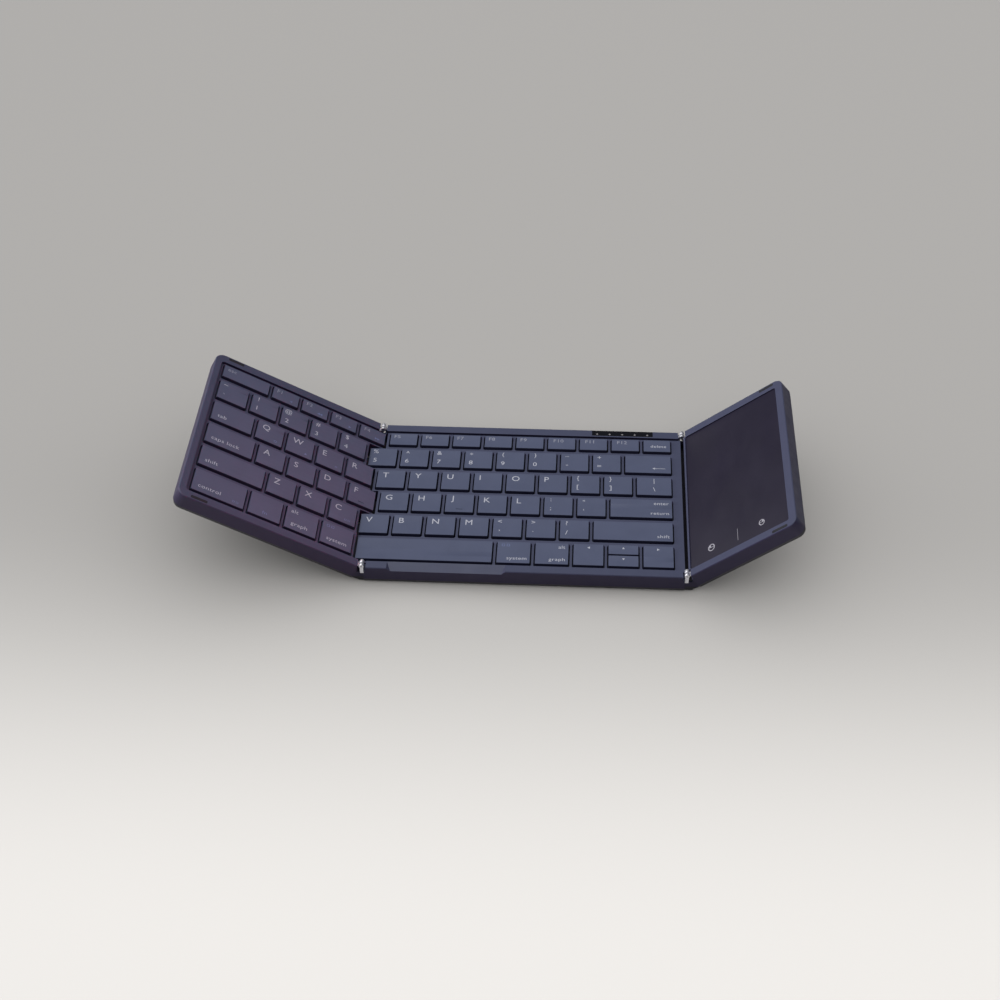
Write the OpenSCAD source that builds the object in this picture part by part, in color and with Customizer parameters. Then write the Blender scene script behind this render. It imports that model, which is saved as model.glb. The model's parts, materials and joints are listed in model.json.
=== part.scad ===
// Three-panel folding keyboard, half open: a middle panel lying flat,
// a key wing raised at the left and a touchpad wing raised at the right.
// Lengths in mm, +Z up, +Y away from the typist, desk at Z = 0.

/* [Keys] */
// distance between key centres along a row
key_pitch = 19.0; // [17:0.1:19.5]
// depth of one letter row
row_pitch = 19.0; // [16:0.1:19.5]
// depth of the half height function row
function_row = 14.1; // [11:0.1:16]
// depth of the front row with the space bar
space_row = 20.6; // [17:0.1:22]
// how far a key sinks when it is pressed
key_travel = 1.4; // [0.8:0.1:1.8]
// dark slot round each key
key_gap = 0.6; // [0.3:0.05:0.9]
// light web left standing between two key windows of a row
web_width = 1.3; // [0.8:0.1:2]
// light web left standing between two rows
row_web = 2.1; // [0.8:0.1:3]

/* [Panels] */
// hinge axis to hinge axis, the width of the middle panel
hinge_spacing = 180; // [170:1:190]
// hinge axis to the outer edge of the key wing
left_reach = 109; // [100:0.5:112]
// hinge axis to the outer edge of the touchpad wing
right_reach = 70.4; // [60:0.2:76]
// front edge to back edge
panel_depth = 122; // [112:0.5:130]
// underside of the body to the top of its rim
body_height = 11.2; // [9:0.1:13]
// rounding of the outer corners
corner_r = 5.5; // [3:0.5:9]
// width of the back rim
back_rim = 5.9; // [4:0.1:8]
// width of the front rim
front_rim = 5.4; // [4:0.1:8]
// width of the outer rim of the key wing
left_rim = 4.0; // [3:0.1:6]
// width of the outer rim of the touchpad wing
right_rim = 4.7; // [3:0.1:6]

/* [Pose] */
// how far the key wing is raised
left_angle = 29; // [0:1:90]
// how far the touchpad wing is raised
right_angle = 39; // [0:1:90]

/* [Hidden] */
$fn = 40;
// heights above the desk with the panel lying flat
foot_z = 0.8;
rim_z = foot_z + body_height;
seam_z = foot_z + 2.6;
floor_z = foot_z + 1.4;
axis_z = rim_z + 0.2;
key_z = rim_z - 0.2;
deck_z = rim_z - 1.5;
deck_under_z = deck_z - 3.2;
membrane_t = 0.3;
plate_t = 0.4;
membrane_z = deck_under_z - 0.1 - membrane_t;
plate_z = membrane_z - plate_t;
skirt_z = key_z - 3.0;
wall = 1.5;
rim_lip = 0.4;
edge_in = 1.2;
panel_gap = 0.35;
finger_gap = 0.2;
hinge_gap = 0.9;
rim_end = 2.2;
skirt_in = web_width / 2 + key_gap;
row_in = row_web / 2 + key_gap;
// lip of the middle panel's cover that reaches under the wings
shield = 3.2;
shield_z = foot_z + 1.7;
// depth of the hollow in a key's top
dish = 0.22;

// plan positions, y from the middle of the depth
y_front = -panel_depth / 2;
y_back = panel_depth / 2;
y_keys = y_front + front_rim;
function row_y(r) = y_keys + (r == 5 ? 0 : space_row + (4 - r) * row_pitch);
function row_d(r) = r == 0 ? function_row : r == 5 ? space_row : row_pitch;
// where each row is split between wing and middle, from the left hinge axis,
// row 0 at the back
split_x = [3.6, -7.3, -0.55, 3.2, -6.2, -5.9];
// rows whose web at the split stays on the wing
wing_web = [false, true, false, false, true, true];
left_keys_x = -left_reach + left_rim + 1.1;
right_keys_x = hinge_spacing - 5.7;
// wide keys of the front row
modifier_w = 21.6;
space_w = 79;
arrow_w = 19.5;
right_modifier_w = (right_keys_x - split_x[5] - space_w - 3 * arrow_w) / 2;
// where the up and down arrows part, from the front of their row
arrow_split = 10.8;

// world position: the footprint is centred on x = 0
function turned_x(dx, z, a) = dx * cos(a) + (axis_z - z) * sin(a);
right_out = hinge_spacing / 2 + max(
    turned_x(right_reach, seam_z, right_angle),
    turned_x(right_reach - edge_in, foot_z, right_angle));
left_out = hinge_spacing / 2 + max(
    turned_x(left_reach, seam_z, left_angle),
    turned_x(left_reach - edge_in, foot_z, left_angle));
shift_x = (left_out - right_out) / 2;

// left hinge axis at x = 0 inside, so all plan positions count from it
module in_middle() {
  translate([shift_x - hinge_spacing / 2, 0, 0]) children();
}

module in_left() {
  translate([shift_x - hinge_spacing / 2, 0, axis_z])
    rotate([0, left_angle, 0]) translate([0, 0, -axis_z]) children();
}

// the touchpad wing counts from its own hinge axis
module in_right() {
  translate([shift_x + hinge_spacing / 2, 0, axis_z])
    rotate([0, -right_angle, 0]) translate([0, 0, -axis_z]) children();
}

// ---- plan outlines ----
module round_rect(x0, y0, x1, y1, r) {
  translate([x0 + r, y0]) square([x1 - x0 - 2 * r, y1 - y0]);
  translate([x0, y0 + r]) square([x1 - x0, y1 - y0 - 2 * r]);
  for (x = [x0 + r, x1 - r])
    for (y = [y0 + r, y1 - r])
      translate([x, y]) circle(r);
}

// edge of the wing in each row: the web goes with the wing or with the middle
function wing_edge(r) = split_x[r]
    + (wing_web[r] ? web_width / 2 : -web_width / 2 - panel_gap);

module row_steps(side, grow) {
  // side 1: what the middle panel leaves to the wing, side -1 the reverse
  for (r = [0:5]) {
    x = wing_edge(r) + (side > 0 ? panel_gap : 0);
    x0 = side > 0 ? -60 : x - grow;
    x1 = side > 0 ? x + grow : 60;
    translate([x0, row_y(r) - finger_gap - grow])
      square([x1 - x0, row_d(r) + 2 * finger_gap + 2 * grow]);
  }
  for (y = [y_front - 10, y_keys + space_row + 4 * row_pitch + function_row]) {
    x0 = side > 0 ? -60 : -hinge_gap - grow;
    x1 = side > 0 ? hinge_gap + grow : 60;
    d = y < 0 ? front_rim + 10 : back_rim + 10;
    translate([x0, y - grow - finger_gap])
      square([x1 - x0, d + 2 * grow + 2 * finger_gap]);
  }
}

module middle_plan(grow = 0) {
  difference() {
    translate([-20, y_front + grow])
      square([hinge_spacing + 20 - hinge_gap - grow, panel_depth - 2 * grow]);
    row_steps(1, grow);
  }
}

module left_plan(grow = 0) {
  difference() {
    translate([-left_reach + grow, y_front + grow])
      square([left_reach + 20 - grow, panel_depth - 2 * grow]);
    row_steps(-1, grow);
  }
}

// ---- outer body, with the low chamfer and the eased rim edge ----
module side_profile(d0, d1, both) {
  // d0 outer edge, d1 far side, chamfered at one or both
  polygon(both
    ? [[d0 + edge_in, foot_z], [d1 - edge_in, foot_z], [d1, seam_z],
       [d1, rim_z - rim_lip], [d1 - rim_lip, rim_z],
       [d0 + rim_lip, rim_z], [d0, rim_z - rim_lip], [d0, seam_z]]
    : [[d0 + edge_in, foot_z], [d1, foot_z], [d1, rim_z],
       [d0 + rim_lip, rim_z], [d0, rim_z - rim_lip], [d0, seam_z]]);
}

module body_run(x0, x1) {
  translate([x0, 0, 0]) rotate([90, 0, 90]) linear_extrude(x1 - x0)
    side_profile(y_front, y_back, true);
}

module body_corner() {
  rotate_extrude(angle = 90) intersection() {
    translate([corner_r, 0]) mirror([1, 0]) side_profile(0, corner_r * 2, false);
    square([corner_r, rim_z + 1]);
  }
}

// a wing body: outer edge at reach on the +x side, hinge side open at x0
module wing_body(x0, reach) {
  body_run(x0, reach - corner_r);
  translate([reach, -y_back + corner_r, 0]) mirror([1, 0, 0]) rotate([90, 0, 180])
    linear_extrude(panel_depth - 2 * corner_r)
      intersection() {
        mirror([1, 0]) side_profile(0, corner_r, false);
        translate([-corner_r, 0]) square([corner_r, rim_z + 1]);
      }
  translate([reach - corner_r, y_back - corner_r, 0]) body_corner();
  translate([reach - corner_r, y_front + corner_r, 0]) rotate([0, 0, -90])
    body_corner();
}

module slice(z0, z1) {
  translate([-200, -100, z0]) cube([500, 200, z1 - z0]);
}

// ---- key cells: x0, x1 from the left hinge axis ----
module window(r, x0, x1) {
  i = web_width / 2;
  j = row_web / 2;
  round_rect(x0 + i, row_y(r) + j, x1 - i, row_y(r) + row_d(r) - j, 1.3);
}

// top of a cap from front to back: eased front edge and a shallow dish
function cap_top(y0, y1, slope) =
  let (m = (y0 + slope + y1 - 0.3) / 2, half = (y1 - y0 - slope - 0.3) / 2 - 0.5)
  [for (t = [1:-0.25:-1]) [m + t * half, key_z - dish * (1 - t * t)]];

module keycap(r, x0, x1, part = 0) {
  // part 1 and 2 are the lower and upper half of one cell
  d = row_d(r);
  cut = row_y(r) + arrow_split;
  a = x0 + skirt_in;
  b = x1 - skirt_in;
  y0 = part == 2 ? cut + 0.2 : row_y(r) + row_in;
  y1 = part == 1 ? cut - 0.2 : row_y(r) + d - row_in;
  slope = 0.55;
  difference() {
    intersection() {
      translate([0, 0, skirt_z]) linear_extrude(key_z - skirt_z)
        round_rect(a, y0, b, y1, 1.1);
      translate([a, 0, 0]) rotate([90, 0, 90]) linear_extrude(b - a)
        polygon(concat([[y0, key_z - 1.6], [y0, skirt_z], [y1, skirt_z],
          [y1, key_z - 1.6], [y1 - 0.3, key_z]], cap_top(y0, y1, slope),
          [[y0 + slope + 0.15, key_z], [y0 + slope, key_z - 0.12]]));
      translate([0, y1, 0]) rotate([90, 0, 0]) linear_extrude(y1 - y0)
        polygon([[a, skirt_z], [b, skirt_z], [b, key_z - 1.6],
          [b - 0.25, key_z], [a + 0.25, key_z], [a, key_z - 1.6]]);
    }
    // hollow under the cap
    translate([a + 1, y0 + 1, skirt_z - 1]) cube([b - a - 2, y1 - y0 - 2, 3]);
  }
}

// raised bar near the front of the two keys that the forefingers find
module homing_bar(r, x) {
  translate([x + key_pitch / 2, row_y(r) + 5, key_z - 0.4]) difference() {
    translate([-1.8, -0.35, 0]) cube([3.6, 0.7, 0.52]);
    for (s = [-1, 1])
      translate([-3, s * 0.35, 0.52]) rotate([45, 0, 0]) cube([6, 0.3, 0.3], center = true);
  }
}

// n equal cells in a row starting at x
module caps(r, x, n) {
  for (k = [0:n - 1])
    keycap(r, x + k * key_pitch, x + (k + 1) * key_pitch);
}

module windows(r, x, n) {
  for (k = [0:n - 1])
    window(r, x + k * key_pitch, x + (k + 1) * key_pitch);
}

// cells that the middle panel has in each row before its last wide key
middle_count = [8, 8, 8, 7, 7, 0];
// cells that the key wing has beside the hinge after its first wide key
left_count = [4, 4, 4, 4, 3, 0];

module middle_windows() {
  for (r = [0:4]) {
    end = split_x[r] + middle_count[r] * key_pitch;
    open = wing_web[r] ? 4 : 0;
    window(r, split_x[r] - open, split_x[r] + key_pitch);
    windows(r, split_x[r] + key_pitch, middle_count[r] - 1);
    window(r, end, right_keys_x);
  }
  s = split_x[5];
  window(5, s - 4, s + space_w);
  for (k = [0:1])
    window(5, s + space_w + k * right_modifier_w,
      s + space_w + (k + 1) * right_modifier_w);
  for (k = [0:2])
    window(5, right_keys_x - (3 - k) * arrow_w, right_keys_x - (2 - k) * arrow_w);
}

module left_windows() {
  for (r = [0:4]) {
    start = split_x[r] - left_count[r] * key_pitch;
    open = wing_web[r] ? 0 : 4;
    window(r, left_keys_x, start);
    windows(r, start, left_count[r] - 1);
    window(r, split_x[r] - key_pitch, split_x[r] + open);
  }
  s = split_x[5];
  window(5, left_keys_x, s - 3 * modifier_w);
  for (k = [0:2])
    window(5, s - (3 - k) * modifier_w, s - (2 - k) * modifier_w);
}

// ---- fasteners and feet, plan positions from the left hinge axis ----
screw_y = panel_depth / 2 - 2.9;
middle_screws = [for (x = [14, 90, 166.5]) [x, -screw_y], for (x = [14, 166.5]) [x, screw_y]];
left_screws_at = [for (x = [-94, -20]) for (y = [-screw_y, screw_y]) [x, y]];
right_screws_at = [for (x = [13, 58]) for (y = [-screw_y, screw_y]) [x, y]];
screw_head_r = 1.3;
screw_r = 0.6;

module screw_set(spots) {
  for (p = spots)
    translate([p[0], p[1], 0]) {
      difference() {
        translate([0, 0, floor_z - 0.6]) cylinder(h = 0.9, r = screw_head_r);
        translate([0, 0, floor_z - 0.7]) cylinder(h = 0.5, r = 0.6, $fn = 6);
      }
      translate([0, 0, floor_z + 0.3]) cylinder(h = 2.6, r = screw_r);
    }
}

module screw_bosses(spots, top) {
  // hollow posts that the screws pull down onto
  for (p = spots)
    translate([p[0], p[1], floor_z + 0.5]) difference() {
      cylinder(h = top - floor_z - 0.5, r = 1.5);
      translate([0, 0, -0.1]) cylinder(h = 3.2, r = screw_r);
    }
}

module screw_wells(spots) {
  for (p = spots)
    translate([p[0], p[1], foot_z - 1]) {
      cylinder(h = floor_z + 0.3 - foot_z + 1, r = screw_head_r);
      cylinder(h = 6, r = screw_r + 0.2);
    }
}

module feet(spots, w, d) {
  for (p = spots)
    translate([0, 0, 0]) linear_extrude(foot_z + 0.5)
      round_rect(p[0] - w / 2, p[1] - d / 2, p[0] + w / 2, p[1] + d / 2, d / 2 - 0.01);
}

middle_feet_at = [[22, -52.5], [158, -52.5], [22, 52.5], [158, 52.5]];
left_feet_at = [[-86, -52.5], [-86, 52.5]];
right_feet_at = [[32, -52.5], [32, 52.5]];
foot_w = 20;
foot_d = 5;

// ---- the covers ----
module tray(spots, foot_spots) {
  // children: outer body, inner plan
  difference() {
    intersection() {
      children(0);
      slice(foot_z, seam_z);
    }
    translate([0, 0, floor_z]) linear_extrude(5) children(1);
    screw_wells(spots);
    translate([0, 0, 0]) feet(foot_spots, foot_w, foot_d);
  }
  // rings under the screw heads
  for (p = spots)
    translate([p[0], p[1], floor_z - 0.4]) difference() {
      cylinder(h = 0.9, r = 2.1);
      translate([0, 0, -0.5]) cylinder(h = 1.2, r = screw_head_r);
      cylinder(h = 2, r = screw_r + 0.2);
    }
}

// children are drawn for the hinge whose wing lies towards -x
module both_hinges() {
  children();
  translate([hinge_spacing, 0, 0]) mirror([1, 0, 0]) children();
}

// lip under the seams, flush with the underside
module shield_lip() {
  translate([0, 0, foot_z]) linear_extrude(shield_z - foot_z) difference() {
    intersection() {
      union() {
        translate([-shield, 0]) middle_plan();
        translate([shield + 2 * hinge_gap - panel_gap, 0]) middle_plan();
      }
      translate([-30, y_front + wall + 0.1])
        square([hinge_spacing + 60, panel_depth - 2 * wall - 0.2]);
    }
    middle_plan(0.7);
  }
}

// sector plates behind the ends of a seam: they stay in the wing while it
// lies flat, and fill the wedge that opens below the axis as it rises
cheek_t = 1.1;
cheek_r = axis_z - foot_z - 0.2;

module hinge_cheeks(z0, z1) {
  for (y = [y_front + wall + 0.1 + cheek_t, y_back - wall - 0.1])
    intersection() {
      translate([0, y, axis_z]) rotate([90, 0, 0]) linear_extrude(cheek_t) intersection() {
        circle(cheek_r, $fn = 96);
        polygon([[1.5, -12], [1.5, -5.4], [-2.4, -5.4], [-5.1, -3.2], [-10.2, -6.4], [-10.2, -12]]);
      }
      slice(z0, z1);
    }
}

// room for them in a wing on the -x side
module cheek_room() {
  for (y = [y_front + wall, y_back - wall - cheek_t - 0.2])
    translate([-10.4, y, -1]) cube([12, cheek_t + 0.2, axis_z - 1.6]);
}

module base_bottom_cover() color("dimgray") in_middle() {
  tray(middle_screws, middle_feet_at) {
    intersection() {
      body_run(-10, hinge_spacing - hinge_gap);
      linear_extrude(20) middle_plan();
    }
    middle_plan(wall);
  }
  shield_lip();
  both_hinges() hinge_cheeks(0, seam_z);
  // walls round the battery
  translate([0, 0, floor_z]) linear_extrude(2) difference() {
    round_rect(38.6, -20.4, 121.4, 30.4, 2);
    round_rect(40, -19, 120, 29, 1);
    translate([70, 20]) square([20, 20]);
  }
  // posts under the circuit board
  for (x = [24, 95, 156])
    translate([x, 44, floor_z]) cylinder(h = 1.2, r = 2);
}

module rim_channel(x0, x1, y0, y1, top = rim_z - 1.4) {
  translate([x0, y0, deck_under_z - 1]) cube([x1 - x0, y1 - y0, top - deck_under_z + 1]);
}

function key_field_top() = y_keys + space_row + 4 * row_pitch + function_row;

indicator_x = [126.1, 162.6];
notch_x = [13.8, 79.8];
mark_gap = 7.35;

module indicator_profile() {
  polygon([[y_back - 5, rim_z - 1], [y_back - 1.4, rim_z - 1], [y_back - 1.4, rim_z - 2.6],
    [y_back, rim_z - 2.6], [y_back, rim_z - rim_lip], [y_back - rim_lip, rim_z],
    [y_back - 5, rim_z]]);
}

// thumb scoop: the front rim falls away towards its front edge
module thumb_scoop() {
  drop = 2.1;
  intersection() {
    translate([notch_x[0], 0, 0]) rotate([90, 0, 90]) linear_extrude(notch_x[1] - notch_x[0])
      polygon([[y_keys, rim_z], [y_keys, rim_z + 1], [y_front - 1, rim_z + 1],
        [y_front - 1, rim_z - drop * (front_rim + 1) / front_rim]]);
    translate([0, y_keys + 1, 0]) rotate([90, 0, 0]) linear_extrude(front_rim + 3)
      polygon([[notch_x[0], rim_z + 1], [notch_x[0], rim_z], [notch_x[0] + 2.6, rim_z - 2.6],
        [notch_x[1] - 2.6, rim_z - 2.6], [notch_x[1], rim_z], [notch_x[1], rim_z + 1]]);
  }
}

module mark_spots() {
  for (k = [0:4])
    translate([129.3 + k * mark_gap, y_back - 2.9, 0]) children();
}

module base_top_frame() color("slategray") in_middle() {
  difference() {
    intersection() {
      body_run(-10, hinge_spacing - hinge_gap);
      linear_extrude(20) middle_plan();
      slice(seam_z, rim_z + 1);
    }
    // sunken key field, open at both hinge sides
    translate([-20, y_keys, deck_z])
      cube([hinge_spacing + 40, key_field_top() - y_keys, 5]);
    // room inside
    translate([0, 0, seam_z - 1]) linear_extrude(deck_under_z - seam_z + 1)
      middle_plan(wall);
    rim_channel(rim_end + 1.6, hinge_spacing - rim_end - 1.6, y_front + wall, y_keys - 1.2, rim_z - 3);
    rim_channel(rim_end + 1.6, hinge_spacing - rim_end - 1.6, key_field_top() + 1.2, y_back - wall);
    translate([0, 0, deck_under_z - 1]) linear_extrude(5) middle_windows();
    thumb_scoop();
    // seat of the indicator window
    translate([indicator_x[0], 0, 0]) rotate([90, 0, 90])
      linear_extrude(indicator_x[1] - indicator_x[0]) indicator_profile();
    mark_spots() translate([0, 0, rim_z - 3]) cylinder(h = 3, r = 0.9);
    both_hinges() hinge_room(fixed_at);
    // mouth of the charging socket
    translate([30 - 4.6, y_back - 4.7, floor_z + 2.1]) cube([9.2, 6, 3.4]);
  }
  screw_bosses(middle_screws, rim_z - 1.3);
  both_hinges() hinge_cheeks(seam_z, rim_z);
}

module indicator_window() color("black") in_middle() {
  translate([indicator_x[0], 0, 0]) rotate([90, 0, 90])
    linear_extrude(indicator_x[1] - indicator_x[0]) indicator_profile();
}

module indicator_light_guides() color("white") in_middle() {
  mark_spots() translate([0, 0, floor_z + 2.2]) cylinder(h = rim_z - 1 - floor_z - 2.2, r = 0.9);
}

module base_support_plate() color("silver") in_middle() {
  translate([0, 0, plate_z]) linear_extrude(plate_t) difference() {
    intersection() {
      middle_plan(wall + 0.5);
      translate([-20, y_keys - 1]) square([230, key_field_top() - y_keys + 2]);
    }
    for (x = [20:30:170])
      translate([x, 8]) circle(2.5);
  }
}

module base_key_membrane() color("lightgray") in_middle() {
  translate([0, 0, membrane_z]) linear_extrude(membrane_t) intersection() {
    middle_plan(wall + 0.8);
    translate([-20, y_keys - 0.6]) square([230, key_field_top() - y_keys + 1.2]);
  }
}

module main_circuit_board() color("green") in_middle() {
  translate([0, 0, floor_z + 1.2]) linear_extrude(1) round_rect(18, 40, 162, y_back - wall - 0.3, 1.5);
  translate([70, 46, floor_z + 2.2]) cube([9, 9, 1]);
  translate([100, 47, floor_z + 2.2]) cube([6, 6, 0.9]);
}

module battery_cell() color("lightsteelblue") in_middle() {
  translate([0, 0, floor_z]) linear_extrude(3.4) round_rect(41, -18, 119, 28, 1.5);
}

module charging_socket() color("silver") in_middle() {
  translate([30, y_back - 4.6, floor_z + 2.2 + 1.6]) rotate([-90, 0, 0]) difference() {
    linear_extrude(4.6) round_rect(-4.5, -1.6, 4.5, 1.6, 1.5);
    translate([0, 0, 1]) linear_extrude(5) round_rect(-4.1, -1.2, 4.1, 1.2, 1.1);
  }
  translate([27, y_back - 3.8, floor_z + 2.2 + 1.3]) cube([6, 3, 0.6]);
}

module base_rubber_feet() color("dimgray") in_middle() feet(middle_feet_at, foot_w, foot_d);

module base_screws() color("gray") in_middle() screw_set(middle_screws);

// ---- rubber domes and scissor links under the keys ----
module dome_at(x, y) {
  translate([x, y, membrane_z + membrane_t]) rotate_extrude()
    polygon([[0, 2.2], [1.2, 2.2], [1.2, key_z - 1 - membrane_z - membrane_t],
      [1.8, key_z - 1 - membrane_z - membrane_t], [2.1, 1.9], [3.4, 0], [2.9, 0],
      [1.7, 1.5], [0, 1.5]]);
}

module link_at(x, y, w, d) {
  // two crossed arms each side of the dome, joined by round rods
  h = key_z - 1.3 - membrane_z - membrane_t;
  reach = min(5.2, d / 2 - row_in - 1.35);
  tilt = atan2(h - 1, 2 * reach);
  for (s = [-1, 1])
    translate([x + s * w - 0.4, y, membrane_z + membrane_t + h / 2 + 0.1])
      rotate([90, 0, 90]) linear_extrude(0.8)
        for (t = [-tilt, tilt])
          rotate(t) square([2 * reach / cos(tilt), 0.8], center = true);
  for (s = [-1, 1])
    translate([x - w, y + s * (reach - 0.4), membrane_z + membrane_t + h / 2 + 0.1 - (h - 1) / 2])
      rotate([0, 90, 0]) cylinder(h = 2 * w, r = 0.35);
}

// x centre of every cell of a row
function even_x(x, n) = [for (k = [0:n - 1]) x + (k + 0.5) * key_pitch];
function middle_x(r) = r == 5
  ? concat([split_x[5] + space_w / 2],
      [for (k = [0:1]) split_x[5] + space_w + (k + 0.5) * right_modifier_w],
      [for (k = [0:2]) right_keys_x - (2.5 - k) * arrow_w])
  : concat(even_x(split_x[r], middle_count[r]),
      [(split_x[r] + middle_count[r] * key_pitch + right_keys_x) / 2]);
function left_x(r) = r == 5
  ? concat([(left_keys_x + split_x[5] - 3 * modifier_w) / 2],
      [for (k = [0:2]) split_x[5] - (2.5 - k) * modifier_w])
  : concat([(left_keys_x + split_x[r] - left_count[r] * key_pitch) / 2],
      even_x(split_x[r] - left_count[r] * key_pitch, left_count[r]));
// the arrow in the middle of its three has two half keys
function half_y(r) = row_y(r) + row_d(r) / 2;
function is_half(r, i) = r == 5 && i == 4;

module base_rubber_domes() color("white") in_middle() {
  for (r = [0:5])
    for (i = [0:len(middle_x(r)) - 1])
      if (is_half(r, i)) {
        dome_at(middle_x(r)[i], half_y(r) - 4.6);
        dome_at(middle_x(r)[i], half_y(r) + 5);
      }
      else dome_at(middle_x(r)[i], half_y(r));
}

module base_scissor_links() color("gainsboro") in_middle() {
  for (r = [0:5])
    for (i = [0:len(middle_x(r)) - 1])
      if (!is_half(r, i)) link_at(middle_x(r)[i], half_y(r), 5, row_d(r));
}

module left_rubber_domes() color("white") in_left() {
  for (r = [0:5])
    for (x = left_x(r))
      dome_at(x, half_y(r));
}

module left_scissor_links() color("gainsboro") in_left() {
  for (r = [0:5])
    for (x = left_x(r))
      link_at(x, half_y(r), 5, row_d(r));
}

// ---- hinges: two knuckles and a pin at each end of each axis ----
knuckle_r = 1.35;
pin_r = 0.6;
knuckle_len = 2.3;
knuckle_half = 1.0;
knuckle_edge = 0.5;
// the legs at the front end reach far down, the others stop just under the barrels
knuckle_leg = 5.0;
short_leg = 2.7;
// front ends of the four knuckles of one axis, the fixed ones outermost
fixed_at = [y_front + knuckle_edge, y_back - knuckle_edge - knuckle_len];
moving_at = [y_front + knuckle_edge + knuckle_len + 0.1,
  y_back - knuckle_edge - 2 * knuckle_len - 0.1];

module knuckle(bore, leg = short_leg) {
  // barrel, leg down the gap and foot towards +x
  rotate([-90, 0, 0]) linear_extrude(knuckle_len) mirror([0, 1]) difference() {
    union() {
      circle(knuckle_r);
      translate([-knuckle_half, -leg]) square([2 * knuckle_half, leg]);
      translate([-knuckle_half, -leg]) square([9, 1.1]);
    }
    circle(bore);
  }
}

// how far the leg of the knuckle at f reaches down
function leg_at(f) = f == fixed_at[0] ? knuckle_leg : short_leg;

module hinge_room(at) {
  // rim end cut back round the barrels of a panel on the +x side, a slot for
  // the long leg, and the slots that take the feet of its own knuckles
  for (y = [y_front - 1, key_field_top()])
    translate([-5, y, axis_z - short_leg - 0.15])
      cube([5 + rim_end, y < 0 ? front_rim + 1 : back_rim + 1, 10]);
  translate([-5, y_front - 1, axis_z - knuckle_leg - 0.15])
    cube([5 + knuckle_half + 0.2, 1.2 + knuckle_edge + knuckle_len, 5]);
  for (f = at)
    translate([0.5, f - 0.1, axis_z - leg_at(f) - 0.15]) cube([9, knuckle_len + 0.2, 1.4]);
}

module fixed_knuckles() {
  for (f = fixed_at)
    translate([0, f, axis_z]) knuckle(pin_r, leg_at(f));
}

module moving_knuckles() {
  for (f = moving_at)
    translate([0, f, axis_z]) mirror([1, 0, 0]) knuckle(pin_r + 0.05);
}

module hinge_pins() {
  for (f = [fixed_at[0], moving_at[1]])
    translate([0, f, axis_z]) rotate([-90, 0, 0]) cylinder(h = 2 * knuckle_len + 0.1, r = pin_r);
}

module left_hinge_brackets() color("silver") in_middle() fixed_knuckles();

module right_hinge_brackets() color("silver") in_middle()
  translate([hinge_spacing, 0, 0]) mirror([1, 0, 0]) fixed_knuckles();

module left_hinge_pins() color("gray") in_middle() hinge_pins();

module right_hinge_pins() color("gray") in_middle() translate([hinge_spacing, 0, 0]) hinge_pins();

module left_hinge_knuckles() color("silver") in_left() moving_knuckles();

module right_hinge_knuckles() color("silver") in_right() mirror([1, 0, 0]) moving_knuckles();

// ---- key wing ----
module left_body() {
  intersection() {
    mirror([1, 0, 0]) wing_body(-10, left_reach);
    linear_extrude(20) left_plan();
  }
}

// hollow of the wing, cut back at the hinge side by the given length
module left_inner(back = 0) {
  difference() {
    translate([-back, 0]) left_plan(wall);
    translate([-left_reach - 10, -100]) square([10 + wall, 200]);
    for (y = [-1, 1])
      translate([-left_reach, y * y_back]) circle(corner_r + 1);
  }
}

// the wing's cover stops short of the shield, but for its front and back walls
module left_cover_plan() {
  intersection() {
    left_plan();
    union() {
      translate([-shield, 0]) left_plan();
      for (y = [y_front, y_back - wall])
        translate([-left_reach, y]) square([left_reach + 20, wall]);
    }
  }
}

module left_bottom_cover() color("dimgray") in_left() difference() {
  tray(left_screws_at, left_feet_at) {
    intersection() {
      left_body();
      linear_extrude(20) left_cover_plan();
    }
    left_inner(shield);
  }
  cheek_room();
}

module left_top_frame() color("slategray") in_left() {
  difference() {
    intersection() {
      left_body();
      slice(seam_z, rim_z + 1);
    }
    translate([0, 0, deck_z]) linear_extrude(5)
      round_rect(-left_reach + left_rim, y_keys, 30, key_field_top(), 2);
    // room inside, with a ledge over the end of the cover
    translate([0, 0, seam_z - 1]) linear_extrude(3) left_inner(shield);
    translate([0, 0, seam_z + 1.2]) linear_extrude(deck_under_z - seam_z - 1.2) left_inner();
    cheek_room();
    rim_channel(-left_reach + corner_r, -rim_end - 1.6, y_front + wall, y_keys - 1.2);
    rim_channel(-left_reach + corner_r, -rim_end - 1.6, key_field_top() + 1.2, y_back - wall);
    translate([0, 0, deck_under_z - 1]) linear_extrude(5) left_windows();
    mirror([1, 0, 0]) hinge_room(moving_at);
    left_pad_spots() translate([0, 0, rim_z - 0.7]) linear_extrude(2) pad_outline();
  }
  screw_bosses(left_screws_at, rim_z - 1.3);
}

module pad_outline() round_rect(-4.8, -0.95, 4.8, 0.95, 0.6);

module left_pad_spots() {
  for (y = [y_front + 1.9, y_back - 2])
    translate([-96.5, y, 0]) children();
}

module left_closing_pads() color("black") in_left()
  left_pad_spots() translate([0, 0, rim_z - 0.7]) linear_extrude(0.8) pad_outline();

module left_support_plate() color("silver") in_left() {
  translate([0, 0, plate_z]) linear_extrude(plate_t) difference() {
    intersection() {
      left_plan(wall + 0.5);
      translate([-left_reach + 3.5, y_keys - 1]) square([130, key_field_top() - y_keys + 2]);
    }
    for (x = [-90:30:-20])
      translate([x, 8]) circle(2.5);
  }
}

module left_key_membrane() color("lightgray") in_left() {
  translate([0, 0, membrane_z]) linear_extrude(membrane_t) intersection() {
    left_plan(wall + 0.8);
    translate([-left_reach + 3.8, y_keys - 0.6]) square([130, key_field_top() - y_keys + 1.2]);
  }
}

module left_rubber_feet() color("dimgray") in_left() feet(left_feet_at, foot_w, foot_d);

module left_screws() color("gray") in_left() screw_set(left_screws_at);

// ---- touchpad wing ----
pad_z = rim_z - 0.5;

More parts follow.
